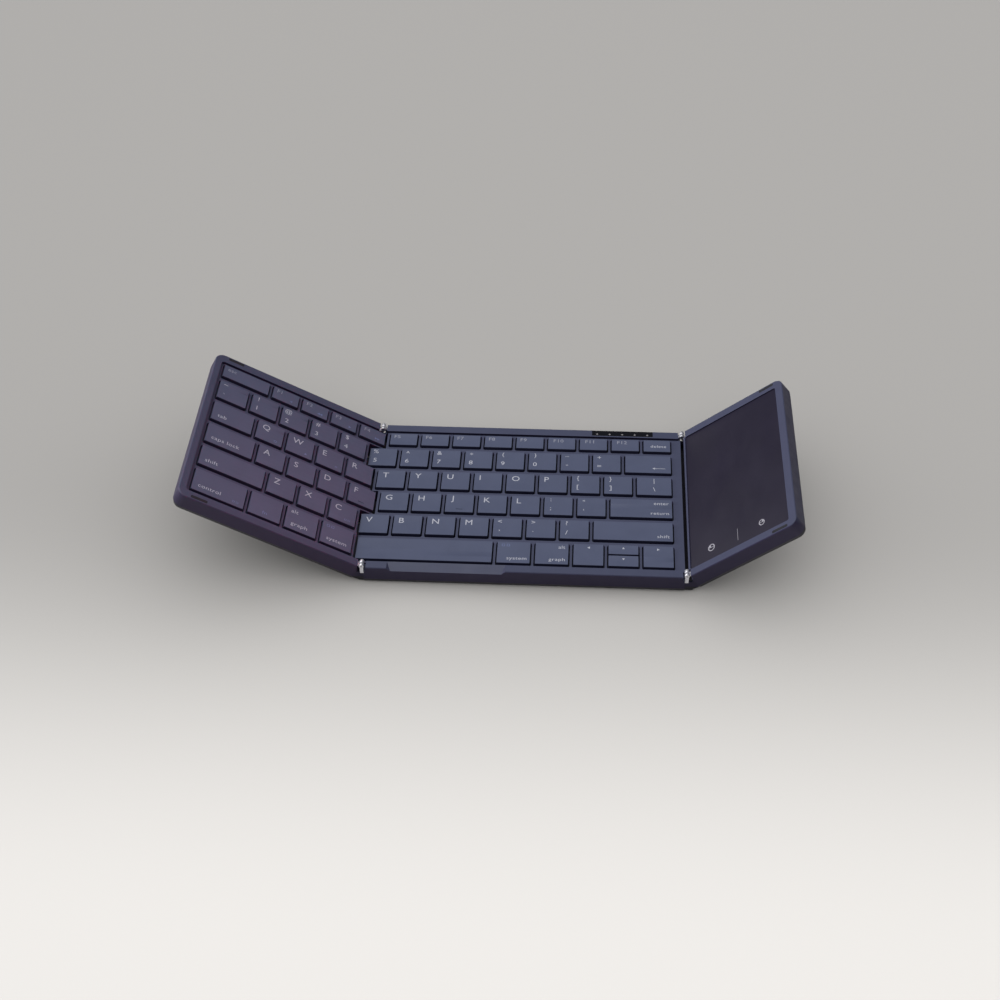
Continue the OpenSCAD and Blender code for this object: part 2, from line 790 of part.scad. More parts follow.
module right_body() {
  wing_body(hinge_gap, right_reach);
}

module right_inner(back = 0) {
  round_rect(rim_end + wall + back, y_front + wall, right_reach - wall, y_back - wall, corner_r - wall);
}

module right_cover_plan() {
  translate([hinge_gap + shield, y_front]) square([right_reach, panel_depth]);
  for (y = [y_front, y_back - wall])
    translate([0, y]) square([right_reach, wall]);
}

module right_bottom_cover() color("dimgray") in_right() difference() {
  tray(right_screws_at, right_feet_at) {
    intersection() {
      right_body();
      linear_extrude(20) right_cover_plan();
    }
    right_inner(shield - rim_end + hinge_gap);
  }
  mirror([1, 0, 0]) cheek_room();
}

module pad_well(grow) {
  round_rect(2.1 - grow, y_keys - 0.2 - grow, right_reach - right_rim + grow, key_field_top() + grow, 1.2);
}

module right_top_frame() color("slategray") in_right() {
  difference() {
    intersection() {
      right_body();
      slice(seam_z, rim_z + 1);
    }
    // well of the touchpad, with a ledge under its edge
    translate([0, 0, pad_z - 1]) linear_extrude(5) pad_well(0);
    translate([0, 0, deck_under_z]) linear_extrude(9) pad_well(-1.4);
    translate([0, 0, seam_z - 1]) linear_extrude(3) right_inner(shield - rim_end + hinge_gap);
    translate([0, 0, seam_z + 1.2]) linear_extrude(deck_under_z - seam_z - 1.19) right_inner();
    mirror([1, 0, 0]) cheek_room();
    hinge_room(moving_at);
    right_pad_spots() translate([0, 0, rim_z - 0.7]) linear_extrude(2) pad_outline();
  }
  screw_bosses(right_screws_at, deck_under_z + 0.2);
}

module right_pad_spots() {
  for (y = [y_front + 1.9, y_back - 2])
    translate([right_reach - 10.6, y, 0]) children();
}

module right_closing_pads() color("black") in_right()
  right_pad_spots() translate([0, 0, rim_z - 0.7]) linear_extrude(0.8) pad_outline();

module touchpad_surface() color("darkslategray") in_right()
  translate([0, 0, pad_z - 1]) linear_extrude(1)
    round_rect(2.3, y_keys, right_reach - right_rim - 0.2, key_field_top() - 0.2, 1);

module touchpad_circuit_board() color("green") in_right()
  translate([0, 0, pad_z - 2]) linear_extrude(1)
    round_rect(6, y_keys + 4, right_reach - right_rim - 4, key_field_top() - 4, 1);

module right_rubber_feet() color("dimgray") in_right() feet(right_feet_at, foot_w, foot_d);

module right_screws() color("gray") in_right() screw_set(right_screws_at);

// ---- keys of the wing ----
module first_wide_key(r) {
  keycap(r, left_keys_x, split_x[r] - left_count[r] * key_pitch);
}

module escape_key() color("lightslategray") in_left() first_wide_key(0);

module tab_key() color("lightslategray") in_left() first_wide_key(2);

module caps_lock_key() color("lightslategray") in_left() first_wide_key(3);

module left_shift_key() color("lightslategray") in_left() first_wide_key(4);

module left_caps(r) {
  caps(r, split_x[r] - left_count[r] * key_pitch, left_count[r]);
}

module left_function_keys() color("slategray") in_left() left_caps(0);

module left_number_keys() color("slategray") in_left() {
  first_wide_key(1);
  left_caps(1);
}

module left_upper_letter_keys() color("slategray") in_left() left_caps(2);

module left_home_letter_keys() color("slategray") in_left() {
  left_caps(3);
  homing_bar(3, split_x[3] - key_pitch);
}

module left_lower_letter_keys() color("slategray") in_left() left_caps(4);

module left_control_key() color("lightslategray") in_left()
  keycap(5, left_keys_x, split_x[5] - 3 * modifier_w);

module left_front_key(k) {
  keycap(5, split_x[5] - (3 - k) * modifier_w, split_x[5] - (2 - k) * modifier_w);
}

module fn_key() color("lightslategray") in_left() left_front_key(0);

module left_modifier_keys() color("lightslategray") in_left() {
  left_front_key(1);
  left_front_key(2);
}

// ---- keys of the middle panel ----
module last_wide_key(r) {
  keycap(r, split_x[r] + middle_count[r] * key_pitch, right_keys_x);
}

module middle_caps(r) {
  caps(r, split_x[r], middle_count[r]);
}

module middle_function_keys() color("slategray") in_middle() {
  middle_caps(0);
  last_wide_key(0);
}

module middle_number_keys() color("slategray") in_middle() middle_caps(1);

module backspace_key() color("lightslategray") in_middle() last_wide_key(1);

module middle_upper_letter_keys() color("slategray") in_middle() middle_caps(2);

module backslash_key() color("lightslategray") in_middle() last_wide_key(2);

module middle_home_letter_keys() color("slategray") in_middle() {
  middle_caps(3);
  homing_bar(3, split_x[3] + 2 * key_pitch);
}

module enter_key() color("lightslategray") in_middle() last_wide_key(3);

module middle_lower_letter_keys() color("slategray") in_middle() middle_caps(4);

module right_shift_key() color("lightslategray") in_middle() last_wide_key(4);

module space_bar() color("lightslategray") in_middle()
  keycap(5, split_x[5], split_x[5] + space_w);

module right_modifier_keys() color("lightslategray") in_middle() {
  x = split_x[5] + space_w;
  for (k = [0:1])
    keycap(5, x + k * right_modifier_w, x + (k + 1) * right_modifier_w);
}

module arrow_keys() color("lightslategray") in_middle() {
  x = right_keys_x - 3 * arrow_w;
  keycap(5, x, x + arrow_w);
  keycap(5, x + arrow_w, x + 2 * arrow_w, 1);
  keycap(5, x + arrow_w, x + 2 * arrow_w, 2);
  keycap(5, x + 2 * arrow_w, x + 3 * arrow_w);
}

base_bottom_cover();
base_top_frame();
base_support_plate();
base_key_membrane();
base_rubber_domes();
base_scissor_links();
main_circuit_board();
battery_cell();
charging_socket();
indicator_window();
indicator_light_guides();
base_rubber_feet();
base_screws();
left_hinge_brackets();
right_hinge_brackets();
left_hinge_pins();
right_hinge_pins();
left_bottom_cover();
left_top_frame();
left_support_plate();
left_key_membrane();
left_rubber_domes();
left_scissor_links();
left_hinge_knuckles();
left_closing_pads();
left_rubber_feet();
left_screws();
right_bottom_cover();
right_top_frame();
touchpad_surface();
touchpad_circuit_board();
right_hinge_knuckles();
right_closing_pads();
right_rubber_feet();
right_screws();
escape_key();
left_function_keys();
left_number_keys();
tab_key();
left_upper_letter_keys();
caps_lock_key();
left_home_letter_keys();
left_shift_key();
left_lower_letter_keys();
left_control_key();
fn_key();
left_modifier_keys();
middle_function_keys();
middle_number_keys();
backspace_key();
middle_upper_letter_keys();
backslash_key();
middle_home_letter_keys();
enter_key();
middle_lower_letter_keys();
right_shift_key();
space_bar();
right_modifier_keys();
arrow_keys();
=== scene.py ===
"""The looks of a three-panel folding keyboard, half open on a pale floor."""
import json
import math

import bmesh
import bpy
from mathutils import Matrix, Quaternion, Vector
from mathutils.bvhtree import BVHTree

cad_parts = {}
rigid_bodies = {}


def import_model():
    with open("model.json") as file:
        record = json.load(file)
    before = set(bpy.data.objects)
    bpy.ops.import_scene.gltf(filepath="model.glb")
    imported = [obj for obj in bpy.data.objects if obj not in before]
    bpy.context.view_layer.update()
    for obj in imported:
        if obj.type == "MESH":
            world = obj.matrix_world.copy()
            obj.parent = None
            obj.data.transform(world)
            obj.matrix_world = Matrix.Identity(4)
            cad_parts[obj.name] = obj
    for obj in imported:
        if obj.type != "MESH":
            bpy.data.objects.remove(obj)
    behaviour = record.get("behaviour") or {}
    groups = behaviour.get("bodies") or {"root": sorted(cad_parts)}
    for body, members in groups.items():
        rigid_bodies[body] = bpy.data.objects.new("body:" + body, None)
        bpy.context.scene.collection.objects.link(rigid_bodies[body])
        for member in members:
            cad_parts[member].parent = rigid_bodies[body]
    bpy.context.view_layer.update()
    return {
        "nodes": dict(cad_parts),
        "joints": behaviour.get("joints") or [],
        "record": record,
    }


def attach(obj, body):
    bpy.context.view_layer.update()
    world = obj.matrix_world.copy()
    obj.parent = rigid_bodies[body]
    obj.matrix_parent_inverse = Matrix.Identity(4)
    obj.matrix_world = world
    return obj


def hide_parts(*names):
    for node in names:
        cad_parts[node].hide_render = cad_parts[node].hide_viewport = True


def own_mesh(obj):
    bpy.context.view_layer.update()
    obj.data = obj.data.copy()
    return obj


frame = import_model()
nodes = frame["nodes"]
joints = {joint["name"]: joint for joint in frame["joints"]}
nodes_of_body = frame["record"]["behaviour"]["bodies"]
body_of_node = {node: body for body, members in nodes_of_body.items() for node in members}
slot_of_node = {row["node"]: row["material_slot"] for row in frame["record"]["subparts"]}
parent_body = {joint["child"]: joint["parent"] for joint in frame["joints"]}
MM = 0.001

# ---- where the three panels lie: plan x counts from the panel's own hinge axis ----


def raised_panel(joint):
    """Matrix from a wing lying flat to the wing as it stands at rest."""
    axis = Vector(joint["axis"])
    pivot = Vector(joint["pos_m"])
    raised = math.radians(-joint["range_deg"][0])
    down = Matrix.Translation((0, 0, -pivot.z))
    return Matrix.Translation(pivot) @ Matrix.Rotation(raised, 4, axis) @ down


# the middle panel counts from the axis that it shares with the key wing
PANELS = {
    "base": Matrix.Translation((joints["left_wing_hinge"]["pos_m"][0], 0, 0)),
    "left_wing": raised_panel(joints["left_wing_hinge"]),
    "right_wing": raised_panel(joints["right_wing_hinge"]),
}


def panel_of(node):
    """Name of the panel that carries a node."""
    body = body_of_node[node]
    return body if body in PANELS else parent_body[body]


# ---- camera, floor and light: metres, degrees and watts ----

CAMERA_TARGET = Vector((3.3, -2.8, 11.8)) * MM
CAMERA_DISTANCE = 951.3 * MM
CAMERA_AZIMUTH = 3.76
CAMERA_ELEVATION = 43.12
CAMERA_ROLL = -0.905
CAMERA_CLIP_START = 0.01
CAMERA_LENS_MM = 59.29
CAMERA_SENSOR_MM = 36

# name, place, target, size, power and colour of each light on the object
OBJECT_LIGHTS = (
    ("main softbox", (-1.0, 0.35, 1.8), (0, 0, 0), 1.5, 29, (1, 0.985, 0.965)),
    ("overhead softbox", (0.2, 0.05, 1.6), (0, 0, 0), 0.9, 6, (0.97, 0.98, 1)),
    ("left window", (-1.35, 0.1, 0.5), (0, 0, 0.02), 0.7, 8.5, (0.97, 0.98, 1)),
    ("front fill", (0.15, -1.1, 0.9), (0, 0, 0), 0.8, 0.3, (0.93, 0.93, 1)),
)
FLOOR_LIGHT = ("floor light", (0, 0, 1.3), (0, 0, 0), 6, 182, (1, 0.99, 0.98))
PLUM_FILL = ("plum fill", (0.12, -0.2, 0.55), (-0.1, -0.045, 0.02), 0.2, 0.037, (1, 0.12, 0.2))
PLUM_SPREAD = 24
SKY_COLOUR = (0.86, 0.89, 0.96)
SKY_STRENGTH = 0.08
FLOOR_HALF_SIDE = 4
# where the painted light on the floor is strongest, at the front, and where it is weakest
PAINTED_FLOOR_LIGHT_Y = (-0.32, 0.04)


def add_object(name, data):
    made = bpy.data.objects.new(name, data)
    bpy.context.scene.collection.objects.link(made)
    return made


def make_camera():
    camera = add_object("camera", bpy.data.cameras.new("camera"))
    camera.data.lens = CAMERA_LENS_MM
    camera.data.sensor_width = CAMERA_SENSOR_MM
    camera.data.clip_start = CAMERA_CLIP_START
    azimuth, elevation = math.radians(CAMERA_AZIMUTH), math.radians(CAMERA_ELEVATION)
    back = Vector((
        math.sin(azimuth) * math.cos(elevation),
        -math.cos(azimuth) * math.cos(elevation),
        math.sin(elevation),
    ))
    aim = (-back).to_track_quat("-Z", "Y")
    camera.rotation_mode = "QUATERNION"
    camera.rotation_quaternion = aim @ Quaternion((0, 0, 1), math.radians(CAMERA_ROLL))
    camera.location = CAMERA_TARGET + back * CAMERA_DISTANCE
    bpy.context.scene.camera = camera


def soft_light(name, place, target, size, power, colour, spread=180):
    """A round area light that points at a target."""
    lamp = bpy.data.lights.new(name, "AREA")
    lamp.shape = "DISK"
    lamp.size = size
    lamp.energy = power
    lamp.color = colour
    lamp.spread = math.radians(spread)
    light = add_object(name, lamp)
    light.location = place
    light.rotation_mode = "QUATERNION"
    light.rotation_quaternion = (Vector(target) - Vector(place)).to_track_quat("-Z", "Y")
    return light


def group(name, pieces, link_state="INCLUDE"):
    """A collection that tells a light which pieces it reaches, or leaves out."""
    made = bpy.data.collections.new(name)
    for piece in pieces:
        made.objects.link(piece)
    for row in made.collection_objects:
        row.light_linking.link_state = link_state
    return made


def make_sky():
    world = bpy.data.worlds.new("studio")
    world.use_nodes = True
    background = world.node_tree.nodes["Background"]
    background.inputs["Color"].default_value = (*SKY_COLOUR, 1)
    background.inputs["Strength"].default_value = SKY_STRENGTH
    bpy.context.scene.world = world


def make_floor():
    mesh = bpy.data.meshes.new("floor")
    shape = bmesh.new()
    bmesh.ops.create_grid(shape, x_segments=1, y_segments=1, size=FLOOR_HALF_SIDE)
    shape.to_mesh(mesh)
    shape.free()
    mesh.materials.append(floor_with_painted_light())
    floor = add_object("floor", mesh)
    return floor


def make_studio():
    bpy.context.scene.view_settings.view_transform = "Standard"
    bpy.context.scene.view_settings.look = "None"
    make_sky()
    object_lights = [soft_light(*values) for values in OBJECT_LIGHTS]
    floor = make_floor()

    # the floor has a very wide light of its own, so that the shadows on it stay soft
    floor_left_out = group("left out by the object lights", [floor], "EXCLUDE")
    for light in object_lights:
        light.light_linking.receiver_collection = floor_left_out
    floor_light = soft_light(*FLOOR_LIGHT)
    floor_light.light_linking.receiver_collection = group("lit by the floor light", [floor])

    # the plum tint falls on the key wing alone
    wing = [solid for name, solid in nodes.items() if panel_of(name) == "left_wing"]
    plum_fill = soft_light(*PLUM_FILL, spread=PLUM_SPREAD)
    plum_fill.light_linking.receiver_collection = group("lit by the plum fill", wing)


# ---- materials: every pattern is in object coordinates, in metres ----

# numbers of the sockets of a colour mix
MIX_FACTOR, MIX_START, MIX_END, MIX_RESULT = 0, 6, 7, 2

# how far up a face looks where the painted side shade starts to fade, and where the face has its
# full colour
SIDE_SHADE_SLOPE = (0.5, 0.82)


class Finish:
    """A material with its shader and a few helpers to wire patterns into it."""

    def __init__(self, name, colour, roughness, metallic=0.0, coat=0.0):
        self.material = bpy.data.materials.new(name)
        self.material.use_nodes = True
        self.tree = self.material.node_tree
        self.shader = self.tree.nodes["Principled BSDF"]
        self.colour = colour
        self.roughness = roughness
        self.shader.inputs["Base Color"].default_value = (*colour, 1)
        self.shader.inputs["Roughness"].default_value = roughness
        self.shader.inputs["Metallic"].default_value = metallic
        self.shader.inputs["Coat Weight"].default_value = coat
        self.where = self.tree.nodes.new("ShaderNodeTexCoord")
        self.last_bump = None

    def node(self, kind, **values):
        """A new node with values on its sockets; a socket's name has _ for each space."""
        made = self.tree.nodes.new(kind)
        for name, value in values.items():
            made.inputs[name.replace("_", " ")].default_value = value
        return made

    def link(self, start, end):
        self.tree.links.new(start, end)

    def place(self, stretch=(1, 1, 1)):
        """Object coordinates, stretched."""
        mapping = self.node("ShaderNodeMapping", Scale=stretch)
        self.link(self.where.outputs["Object"], mapping.inputs["Vector"])
        return mapping.outputs["Vector"]

    def noise(self, grain_mm, detail=3, stretch=(1, 1, 1)):
        """A noise with a grain of some size, its detail a number of finer layers."""
        made = self.node("ShaderNodeTexNoise", Scale=1 / (grain_mm * MM), Detail=detail)
        self.link(self.place(stretch), made.inputs["Vector"])
        return made.outputs["Fac"]

    def mix_colour(self, factor, start):
        """Makes the base colour a mix by a factor, with its start colour set and its end open."""
        mix = self.node("ShaderNodeMix")
        mix.data_type = "RGBA"
        mix.inputs[MIX_START].default_value = (*start, 1)
        self.link(factor, mix.inputs[MIX_FACTOR])
        self.link(mix.outputs[MIX_RESULT], self.shader.inputs["Base Color"])
        return mix

    def vary_colour(self, pattern, start, end, low=0.35, high=0.65):
        """The base colour runs from start to end times itself over a pattern's low to high."""
        ramp = self.node("ShaderNodeMapRange", From_Min=low, From_Max=high)
        self.link(pattern, ramp.inputs["Value"])
        mix = self.mix_colour(ramp.outputs["Result"], [c * start for c in self.colour])
        mix.inputs[MIX_END].default_value = (*[c * end for c in self.colour], 1)
        return mix

    def vary_roughness(self, pattern, spread):
        """The roughness runs from less to more by a spread along a pattern."""
        ramp = self.node(
            "ShaderNodeMapRange", From_Min=0.3, From_Max=0.7,
            To_Min=self.roughness - spread, To_Max=self.roughness + spread)
        self.link(pattern, ramp.inputs["Value"])
        self.link(ramp.outputs["Result"], self.shader.inputs["Roughness"])

    def bump(self, pattern, depth_mm):
        """Adds a pattern to the surface, over the ones added before it."""
        made = self.node("ShaderNodeBump", Distance=depth_mm * MM)
        self.link(pattern, made.inputs["Height"])
        if self.last_bump:
            self.link(self.last_bump, made.inputs["Normal"])
        self.last_bump = made.outputs["Normal"]
        self.link(self.last_bump, self.shader.inputs["Normal"])


def floor_with_painted_light():
    """Pale floor with painted light: its colour grows lighter towards the front."""
    finish = Finish("pale floor", (0.26, 0.255, 0.248), roughness=0.85)
    axes = finish.node("ShaderNodeSeparateXYZ")
    finish.link(finish.place(), axes.inputs["Vector"])
    front, back = PAINTED_FLOOR_LIGHT_Y
    fade = finish.node("ShaderNodeMapRange", From_Min=front, From_Max=back)
    fade.interpolation_type = "SMOOTHERSTEP"
    finish.link(axes.outputs["Y"], fade.inputs["Value"])
    # painted light: the colour is lighter at the front and darker at the back
    finish.vary_colour(fade.outputs["Result"], start=1.85, end=0.87, low=0, high=1)
    finish.bump(finish.noise(1.5), depth_mm=0.02)
    return finish.material


def moulded_plastic(name, colour, roughness, grain_mm, depth_mm, mottle=0.05):
    """Moulded plastic: fine grain, faint cloudiness and uneven sheen."""
    finish = Finish(name, colour, roughness)
    finish.vary_colour(finish.noise(14), start=1 - mottle, end=1 + mottle)
    finish.vary_roughness(finish.noise(6), spread=0.05)
    finish.bump(finish.noise(grain_mm), depth_mm)
    return finish.material


def plastic_with_painted_side_shade(name, colour, side_shade_colour, roughness, grain_mm, depth_mm):
    """Moulded plastic with a low sheen, its sides darkened by painted shade: faces that look up
    keep their colour, faces that turn away from up take a darker colour.
    """
    finish = Finish(name, colour, roughness)
    finish.shader.inputs["Specular IOR Level"].default_value = 0.3
    tint = finish.vary_colour(finish.noise(14), start=0.97, end=1.03)
    # painted shade: the further a face's normal turns from up, the more it takes the darker side
    # shade colour
    upward = finish.node("ShaderNodeSeparateXYZ")
    finish.link(finish.where.outputs["Normal"], upward.inputs["Vector"])
    sets_in, covers = SIDE_SHADE_SLOPE
    top = finish.node("ShaderNodeMapRange", From_Min=sets_in, From_Max=covers)
    finish.link(upward.outputs["Z"], top.inputs["Value"])
    coat = finish.mix_colour(top.outputs["Result"], side_shade_colour)
    finish.link(tint.outputs[MIX_RESULT], coat.inputs[MIX_END])
    finish.vary_roughness(finish.noise(6), spread=0.05)
    finish.bump(finish.noise(grain_mm), depth_mm)
    return finish.material


def touchpad_film():
    """Matt dark film over the touch sensor, with a very fine grain and faint finger smears."""
    finish = Finish("touchpad film", (0.0195, 0.0165, 0.032), roughness=0.42)
    finish.shader.inputs["Specular IOR Level"].default_value = 0.22
    finish.vary_colour(finish.noise(25), start=0.94, end=1.06)
    finish.vary_roughness(finish.noise(11, detail=4, stretch=(1, 0.4, 1)), spread=0.05)
    finish.bump(finish.noise(0.15), depth_mm=0.003)
    return finish.material


def printed_ink(name, colour):
    finish = Finish(name, colour, roughness=0.55)
    finish.vary_colour(finish.noise(0.5, detail=2), start=0.9, end=1.08)
    finish.bump(finish.noise(0.2, detail=2), depth_mm=0.004)
    return finish.material


def polished_plastic(name, colour, roughness):
    finish = Finish(name, colour, roughness, coat=0.3)
    finish.vary_roughness(finish.noise(3), spread=0.04)
    finish.bump(finish.noise(1.2, detail=2), depth_mm=0.002)
    return finish.material


def rolled_steel(name, colour, roughness, stretch=(1, 0.05, 1)):
    """Steel with fine lines along one direction."""
    finish = Finish(name, colour, roughness, metallic=1.0)
    lines = finish.noise(0.12, stretch=stretch)
    finish.vary_colour(lines, start=0.88, end=1.06)
    finish.vary_roughness(lines, spread=0.08)
    finish.bump(lines, depth_mm=0.003)
    return finish.material


def moulded_rubber(name, colour):
    finish = Finish(name, colour, roughness=0.82)
    finish.vary_colour(finish.noise(2.5, detail=4), start=0.85, end=1.2)
    finish.vary_roughness(finish.noise(1.5), spread=0.06)
    finish.bump(finish.noise(0.4, detail=4), depth_mm=0.03)
    return finish.material


def solder_mask():
    """Circuit board: glossy green lacquer with a hint of tracks under it."""
    finish = Finish("circuit board", (0.02, 0.13, 0.06), roughness=0.35, coat=0.4)
    bricks = finish.node("ShaderNodeTexBrick", Scale=420.0)
    finish.link(finish.place((1, 1, 0)), bricks.inputs["Vector"])
    finish.vary_colour(bricks.outputs["Fac"], start=0.8, end=1.6, low=0, high=1)
    finish.bump(bricks.outputs["Fac"], depth_mm=0.02)
    return finish.material


def pouch_foil():
    """Battery pouch: dull foil, softly creased."""
    finish = Finish("battery foil", (0.62, 0.63, 0.66), roughness=0.32, metallic=1.0)
    finish.vary_roughness(finish.noise(9, detail=4), spread=0.1)
    finish.bump(finish.noise(7, detail=4), depth_mm=0.15)
    return finish.material


def printed_film():
    """Key membrane: film made dark as painted shade for the gaps between the keys, with printed
    conductor lines.
    """
    finish = Finish("membrane film", (0.022, 0.023, 0.034), roughness=0.4, coat=0.2)
    lines = finish.node("ShaderNodeTexWave", Scale=210.0, Distortion=2.0)
    finish.link(finish.place((0.3, 1, 0)), lines.inputs["Vector"])
    finish.vary_colour(lines.outputs["Fac"], start=0.8, end=1.7, low=0.4, high=0.6)
    finish.bump(lines.outputs["Fac"], depth_mm=0.01)
    return finish.material


def silicone():
    """Domes: milky rubber that lets a little light in."""
    finish = Finish("dome silicone", (0.72, 0.72, 0.7), roughness=0.5)
    finish.shader.inputs["Subsurface Weight"].default_value = 0.3
    finish.shader.inputs["Subsurface Radius"].default_value = (0.002, 0.0018, 0.0016)
    finish.vary_colour(finish.noise(1.5, detail=2), start=0.94, end=1.04)
    finish.bump(finish.noise(0.4, detail=2), depth_mm=0.01)
    return finish.material


def make_materials():
    """One finish for each material slot of the record."""
    return {
        # the frame and the keys have painted shade on their sides: a darker colour on faces that
        # turn away from up
        "frame_plastic": plastic_with_painted_side_shade(
            "frame plastic", (0.062, 0.069, 0.121), side_shade_colour=(0.034, 0.026, 0.07),
            roughness=0.5, grain_mm=0.28, depth_mm=0.010),
        "cover_plastic": moulded_plastic(
            "cover plastic", (0.024, 0.022, 0.034),
            roughness=0.62, grain_mm=0.55, depth_mm=0.035),
        "key_plastic": plastic_with_painted_side_shade(
            "key plastic", (0.089, 0.103, 0.170), side_shade_colour=(0.012, 0.012, 0.034),
            roughness=0.46, grain_mm=0.22, depth_mm=0.006),
        "touchpad": touchpad_film(),
        "window_plastic": polished_plastic(
            "indicator window", (0.006, 0.006, 0.009), roughness=0.12),
        "clear_plastic": polished_plastic("light guide", (0.75, 0.78, 0.8), roughness=0.2),
        "hinge_steel": rolled_steel(
            "hinge steel", (0.9, 0.9, 0.96), roughness=0.48, stretch=(1, 6, 1)),
        "steel": rolled_steel("plain steel", (0.5, 0.5, 0.53), roughness=0.38),
        "socket_metal": rolled_steel("socket shell", (0.62, 0.62, 0.64), roughness=0.3),
        "foot_rubber": moulded_rubber("foot rubber", (0.022, 0.022, 0.026)),
        "pad_rubber": moulded_rubber("pad rubber", (0.012, 0.012, 0.018)),
        "dome_rubber": silicone(),
        # the links are made dark as painted shade for the gaps between the keys
        "link_plastic": moulded_plastic(
            "link plastic", (0.026, 0.026, 0.034),
            roughness=0.4, grain_mm=0.4, depth_mm=0.005, mottle=0.03),
        "membrane_film": printed_film(),
        "circuit_board": solder_mask(),
        "battery_foil": pouch_foil(),
    }


# ---- the modelled solids: finish, and the small rounding that every real edge has ----

# width of the rounding by material slot, in mm
EDGE_ROUND = {
    "frame_plastic": 0.16,
    "cover_plastic": 0.22,
    "key_plastic": 0.16,
    "touchpad": 0.08,
    "window_plastic": 0.06,
    "hinge_steel": 0.1,
    "foot_rubber": 0.15,
    "pad_rubber": 0.08,
    "steel": 0.04,
}
# corners this near to each other, in metres, are one corner
JOIN_DISTANCE = 2e-6
# angles between faces, in degrees: flat up to the first, rounded off from the second
FLAT_ANGLE = 1
SHARP_ANGLE = 28


def ease_edges(piece, width_mm):
    """Rounds a solid's sharp edges with modifiers; its own mesh stays as it is."""
    weld = piece.modifiers.new("join corners", "WELD")
    weld.merge_threshold = JOIN_DISTANCE
    flat = piece.modifiers.new("join flats", "DECIMATE")
    flat.decimate_type = "DISSOLVE"
    flat.angle_limit = math.radians(FLAT_ANGLE)
    bevel = piece.modifiers.new("eased edges", "BEVEL")
    bevel.width = width_mm * MM
    bevel.segments = 2
    bevel.limit_method = "ANGLE"
    bevel.angle_limit = math.radians(SHARP_ANGLE)
    bevel.use_clamp_overlap = True
    bevel.harden_normals = True


def dress_solids(materials):
    for node, slot in slot_of_node.items():
        piece = nodes[node]
        piece.data.materials.clear()
        piece.data.materials.append(materials[slot])
        if slot in EDGE_ROUND:
            ease_edges(piece, EDGE_ROUND[slot])


# ---- nodes on their panel as it lies flat, and the separate pieces in them ----


def flat_mesh(node):
    """A node's mesh on its panel as it lies flat, with its corners joined."""
    shape = bmesh.new()
    shape.from_mesh(nodes[node].data)
    shape.transform(PANELS[panel_of(node)].inverted())
    bmesh.ops.remove_doubles(shape, verts=shape.verts, dist=JOIN_DISTANCE)
    return shape


def shells_of(shape):
    """The separate closed pieces of a shape, each as a list of its vertices."""
    left = set(shape.verts)
    shells = []
    while left:
        found = [left.pop()]
        for vertex in found:
            for edge in vertex.link_edges:
                other = edge.other_vert(vertex)
                if other in left:
                    left.remove(other)
                    found.append(other)
        shells.append(found)
    return shells


class Plan:
    """The box in plan around some vertices, in mm from their panel's hinge axis."""

    def __init__(self, verts):
        self.x0, self.x1 = min(v.co.x for v in verts) / MM, max(v.co.x for v in verts) / MM
        self.y0, self.y1 = min(v.co.y for v in verts) / MM, max(v.co.y for v in verts) / MM

    def covers_middle_of(self, other):
        x, y = (other.x0 + other.x1) / 2, (other.y0 + other.y1) / 2
        return self.x0 < x < self.x1 and self.y0 < y < self.y1


def caps_of(shape):
    """The plans of a key node's caps, left to right and then front to back."""
    caps = [Plan(shell) for shell in shells_of(shape)]
    return sorted(caps, key=lambda cap: (round(cap.x0), cap.y0))


def new_piece(name, shape, material, body):
    """Stands a shape in the scene as a piece that moves with a body."""
    mesh = bpy.data.meshes.new(name)
    shape.to_mesh(mesh)
    shape.free()
    mesh.materials.append(material)
    piece = add_object(name, mesh)
    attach(piece, body)
    return piece


# ---- domes and links: one piece for the ones under each set of keys ----

# each node that lies under all keys of a panel, with the ending of its pieces' names
FOLDING_NODES = {
    "base_rubber_domes": "_domes",
    "base_scissor_links": "_links",
    "left_rubber_domes": "_domes",
    "left_scissor_links": "_links",
}
# faces that meet at less than this angle, in degrees, shade as one
SMOOTH_ANGLE = 35
# a little less than the room that is left for a piece when its keys are down, as a share
FOLD_SLACK = 0.98


def smooth_round_faces(shape):
    for edge in shape.edges:
        edge.smooth = edge.calc_face_angle(0) < math.radians(SMOOTH_ANGLE)
    for face in shape.faces:
        face.smooth = True


def presses_on(panel):
    """The press joints on a panel, each with its key node and the plans of the caps."""
    for press in joints.values():
        if press["type"] == "slide" and press["parent"] == panel:
            keys = nodes_of_body[press["child"]][0]
            shape = flat_mesh(keys)
            caps = caps_of(shape)
            shape.free()
            yield press, keys, caps


def part_with(kept, whole):
    """A copy of a shape with only the vertices of some indices."""
    shape = whole.copy()
    shape.verts.index_update()
    others = [v for v in shape.verts if v.index not in kept]
    bmesh.ops.delete(shape, geom=others, context="VERTS")
    return shape


def cut_by_keys(node, ending):
    """Stands one piece for each set of keys in the place of a node that lies under all of them."""
    panel = panel_of(node)
    material = nodes[node].data.materials[0]
    whole = flat_mesh(node)
    whole.verts.index_update()
    shells = [(Plan(shell), {v.index for v in shell}) for shell in shells_of(whole)]
    for press, keys, caps in presses_on(panel):
        kept = set()
        for plan, indices in shells:
            if any(cap.covers_middle_of(plan) for cap in caps):
                kept |= indices
        shape = part_with(kept, whole)
        smooth_round_faces(shape)
        foot = min(shape.verts, key=lambda v: v.co.z).co.copy()
        height = max(v.co.z for v in shape.verts) - foot.z
        shape.transform(PANELS[panel])
        piece = new_piece(keys + ending, shape, material, panel)
        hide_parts(node)
        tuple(press["axis"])
        FOLD_SLACK * (1 - max(press["range_m"]) / height)
        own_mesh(piece)
    whole.free()


# ---- marks: closed slabs, drawn one unit high, that are laid on a surface as ink ----

# half the thickness of a slab
SLAB = 0.01
